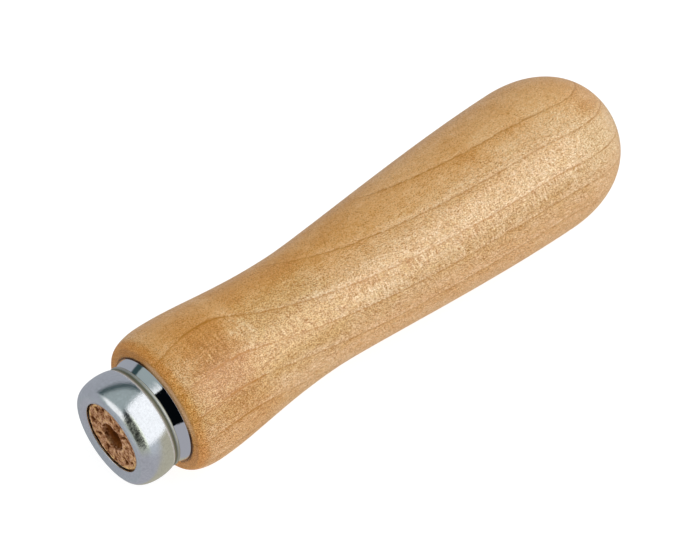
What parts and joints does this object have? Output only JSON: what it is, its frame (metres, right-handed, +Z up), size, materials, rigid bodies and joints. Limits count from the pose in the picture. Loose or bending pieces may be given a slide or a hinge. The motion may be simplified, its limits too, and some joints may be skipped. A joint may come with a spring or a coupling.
{
  "type": "tool handle",
  "caption": "Turned hardwood handle with a pressed metal ferrule and a blind end hole for the tang of a small hand tool.",
  "frame": {"origin": "centre of the tang bore's mouth, in the plane of the wooden tenon's end face", "axes": "+X along the handle from the ferrule to the butt, +Z up as the handle lies in use, +Y completes a right-handed frame"},
  "size_m": [0.127, 0.0318, 0.0318],
  "materials": {
    "maple": "honey-coloured maple under a thin semi-gloss clear lacquer, with long growth rings and short fibre flecks; the sawn end inside the ferrule is bare and rough",
    "bright_plate": "bright polished plating on thin sheet steel",
    "satin_zinc": "satin zinc plating on pressed sheet steel, faintly grained, smooth at the turned-in face"
  },
  "bodies": {
    "root": {"grip": "maple", "ferrule_sleeve": "bright_plate", "ferrule_cap": "satin_zinc"}
  },
  "joints": []
}
